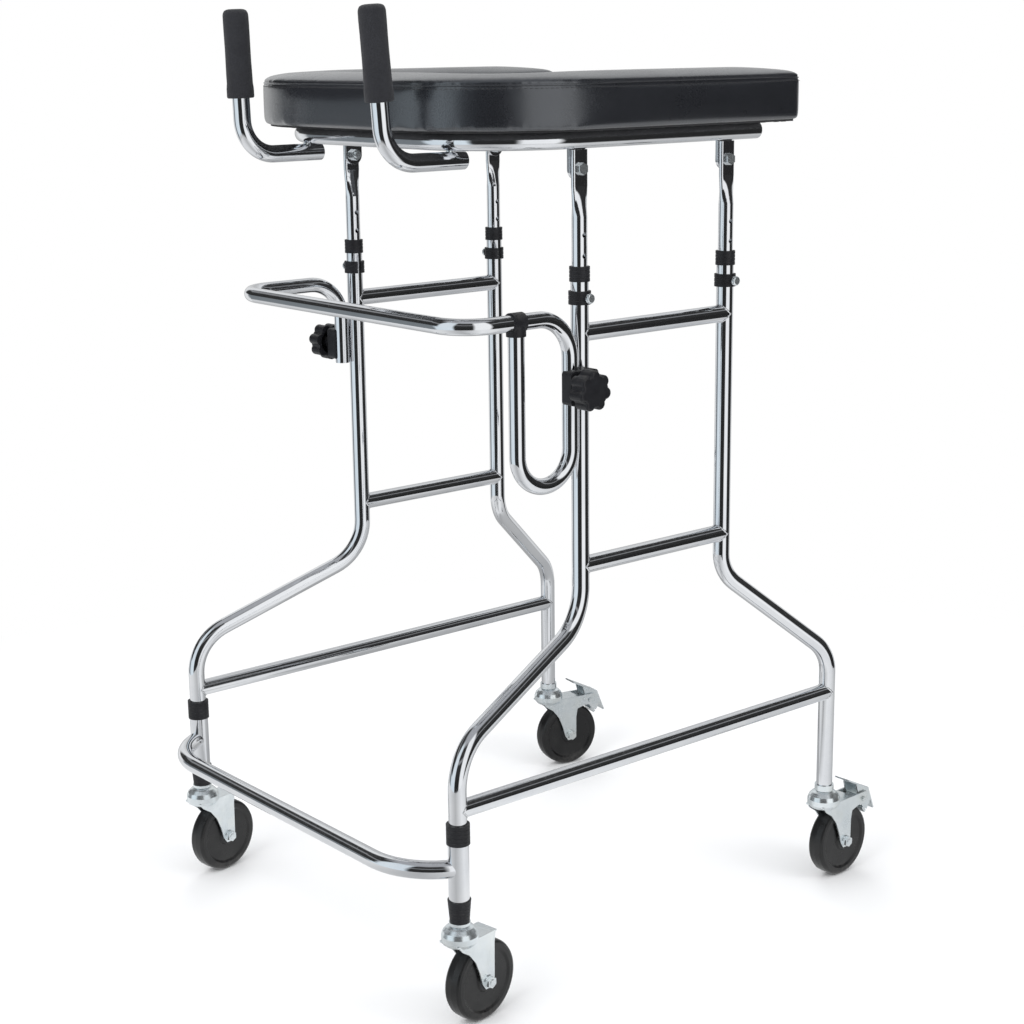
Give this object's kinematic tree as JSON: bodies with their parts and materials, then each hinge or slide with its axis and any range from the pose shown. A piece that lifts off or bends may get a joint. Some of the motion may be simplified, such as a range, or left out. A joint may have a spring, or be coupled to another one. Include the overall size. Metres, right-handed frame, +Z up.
{
  "type": "walking frame",
  "caption": "Height-adjustable walking frame on swivel casters, with a padded U-shaped forearm table, upright grips, a front bow with hanging loop and rear brakes.",
  "frame": {"origin": "floor level, at the middle of the overall plan outline", "axes": "+Z up; the closed end of the table, the grips and the front bar are towards -Y and the user steps in from +Y; +X is the user's left"},
  "size_m": [0.6404, 0.8185, 1.1975],
  "materials": {
    "chrome_tube": "polished",
    "zinc_steel": "satin",
    "black_plastic": "matte",
    "foam_grip": "matte",
    "pad_vinyl": "satin",
    "plywood": "matte",
    "wheel_rubber": "satin"
  },
  "bodies": {
    "frame": {"post_front_left": "chrome_tube", "post_collar_front_left": "black_plastic", "clip_ring_front_left": "black_plastic", "post_rear_left": "chrome_tube", "post_collar_rear_left": "black_plastic", "clip_ring_rear_left": "black_plastic", "side_bar_top_left": "chrome_tube", "side_bar_middle_left": "chrome_tube", "side_bar_low_left": "chrome_tube", "sleeve_collars_left": "black_plastic", "bow_jaw_left": "black_plastic", "post_front_right": "chrome_tube", "post_collar_front_right": "black_plastic", "clip_ring_front_right": "black_plastic", "post_rear_right": "chrome_tube", "post_collar_rear_right": "black_plastic", "clip_ring_rear_right": "black_plastic", "side_bar_top_right": "chrome_tube", "side_bar_middle_right": "chrome_tube", "side_bar_low_right": "chrome_tube", "sleeve_collars_right": "black_plastic", "bow_jaw_right": "black_plastic", "caster_stems": "zinc_steel", "front_bar": "chrome_tube", "bow": "chrome_tube", "bow_loop": "chrome_tube", "loop_clip": "black_plastic"},
    "table": {"inner_tube_front_left": "chrome_tube", "inner_tube_rear_left": "chrome_tube", "inner_tube_front_right": "chrome_tube", "inner_tube_rear_right": "chrome_tube", "table_rail": "chrome_tube", "table_board": "plywood", "table_cushion": "pad_vinyl", "table_bolts": "zinc_steel"},
    "locking_pin_front_left": {"locking_pin_front_left": "zinc_steel"},
    "locking_pin_rear_left": {"locking_pin_rear_left": "zinc_steel"},
    "caster_front_left": {"caster_fork_front_left": "zinc_steel", "caster_axle_front_left": "zinc_steel"},
    "wheel_front_left": {"caster_wheel_front_left": "wheel_rubber"},
    "caster_rear_left": {"caster_fork_rear_left": "zinc_steel", "caster_axle_rear_left": "zinc_steel"},
    "wheel_rear_left": {"caster_wheel_rear_left": "wheel_rubber"},
    "pedal_left": {"brake_pedal_left": "zinc_steel"},
    "handle_left": {"handle_tube_left": "chrome_tube", "handle_grip_left": "foam_grip"},
    "knob_left": {"clamp_knob_left": "black_plastic"},
    "locking_pin_front_right": {"locking_pin_front_right": "zinc_steel"},
    "locking_pin_rear_right": {"locking_pin_rear_right": "zinc_steel"},
    "caster_front_right": {"caster_fork_front_right": "zinc_steel", "caster_axle_front_right": "zinc_steel"},
    "wheel_front_right": {"caster_wheel_front_right": "wheel_rubber"},
    "caster_rear_right": {"caster_fork_rear_right": "zinc_steel", "caster_axle_rear_right": "zinc_steel"},
    "wheel_rear_right": {"caster_wheel_rear_right": "wheel_rubber"},
    "pedal_right": {"brake_pedal_right": "zinc_steel"},
    "handle_right": {"handle_tube_right": "chrome_tube", "handle_grip_right": "foam_grip"},
    "knob_right": {"clamp_knob_right": "black_plastic"}
  },
  "joints": [
    {"name": "table_height", "type": "slide", "parent": "frame", "child": "table", "axis": [0, 0, 1], "range_m": [-0.05, 0.125]},
    {"name": "pin_pull_front_left", "type": "slide", "parent": "frame", "child": "locking_pin_front_left", "axis": [1, 0, 0], "range_m": [0, 0.01], "stiffness_N_per_m": 300},
    {"name": "pin_pull_rear_left", "type": "slide", "parent": "frame", "child": "locking_pin_rear_left", "axis": [1, 0, 0], "range_m": [0, 0.01], "stiffness_N_per_m": 300},
    {"name": "caster_swivel_front_left", "type": "hinge", "parent": "frame", "child": "caster_front_left", "pos_m": [0.2945, -0.3383, 0.122], "axis": [0, 0, 1], "continuous": true},
    {"name": "wheel_spin_front_left", "type": "hinge", "parent": "caster_front_left", "child": "wheel_front_left", "pos_m": [0.28962, -0.30566, 0.051], "axis": [-0.989, -0.1478, 0], "continuous": true},
    {"name": "caster_swivel_rear_left", "type": "hinge", "parent": "frame", "child": "caster_rear_left", "pos_m": [0.2945, 0.3097, 0.122], "axis": [0, 0, 1], "continuous": true},
    {"name": "wheel_spin_rear_left", "type": "hinge", "parent": "caster_rear_left", "child": "wheel_rear_left", "pos_m": [0.29295, 0.34266, 0.051], "axis": [-0.9989, -0.0471, 0], "continuous": true},
    {"name": "brake_pedal_press_left", "type": "hinge", "parent": "caster_rear_left", "child": "pedal_left", "pos_m": [0.2912, 0.37962, 0.104], "axis": [-0.9989, -0.0471, 0], "range_deg": [0, 7]},
    {"name": "handle_swing_left", "type": "hinge", "parent": "table", "child": "handle_left", "pos_m": [0.15, -0.21891, 1.018], "axis": [0, 0, 1], "range_deg": [-10, 20]},
    {"name": "knob_turn_left", "type": "hinge", "parent": "frame", "child": "knob_left", "pos_m": [0.27, -0.1113, 0.747], "axis": [1, 0, 0], "continuous": true},
    {"name": "pin_pull_front_right", "type": "slide", "parent": "frame", "child": "locking_pin_front_right", "axis": [-1, 0, 0], "range_m": [0, 0.01], "stiffness_N_per_m": 300},
    {"name": "pin_pull_rear_right", "type": "slide", "parent": "frame", "child": "locking_pin_rear_right", "axis": [-1, 0, 0], "range_m": [0, 0.01], "stiffness_N_per_m": 300},
    {"name": "caster_swivel_front_right", "type": "hinge", "parent": "frame", "child": "caster_front_right", "pos_m": [-0.2945, -0.3383, 0.122], "axis": [0, 0, 1], "continuous": true},
    {"name": "wheel_spin_front_right", "type": "hinge", "parent": "caster_front_right", "child": "wheel_front_right", "pos_m": [-0.30068, -0.30588, 0.051], "axis": [-0.9823, -0.1874, 0], "continuous": true},
    {"name": "caster_swivel_rear_right", "type": "hinge", "parent": "frame", "child": "caster_rear_right", "pos_m": [-0.2945, 0.3097, 0.122], "axis": [0, 0, 1], "continuous": true},
    {"name": "wheel_spin_rear_right", "type": "hinge", "parent": "caster_rear_right", "child": "wheel_rear_right", "pos_m": [-0.28871, 0.34219, 0.051], "axis": [-0.9845, 0.1754, 0], "continuous": true},
    {"name": "brake_pedal_press_right", "type": "hinge", "parent": "caster_rear_right", "child": "pedal_right", "pos_m": [-0.28222, 0.37862, 0.104], "axis": [-0.9845, 0.1754, 0], "range_deg": [0, 7]},
    {"name": "handle_swing_right", "type": "hinge", "parent": "table", "child": "handle_right", "pos_m": [-0.15, -0.21891, 1.018], "axis": [0, 0, -1], "range_deg": [-10, 20]},
    {"name": "knob_turn_right", "type": "hinge", "parent": "frame", "child": "knob_right", "pos_m": [-0.27, -0.1113, 0.747], "axis": [-1, 0, 0], "continuous": true}
  ]
}
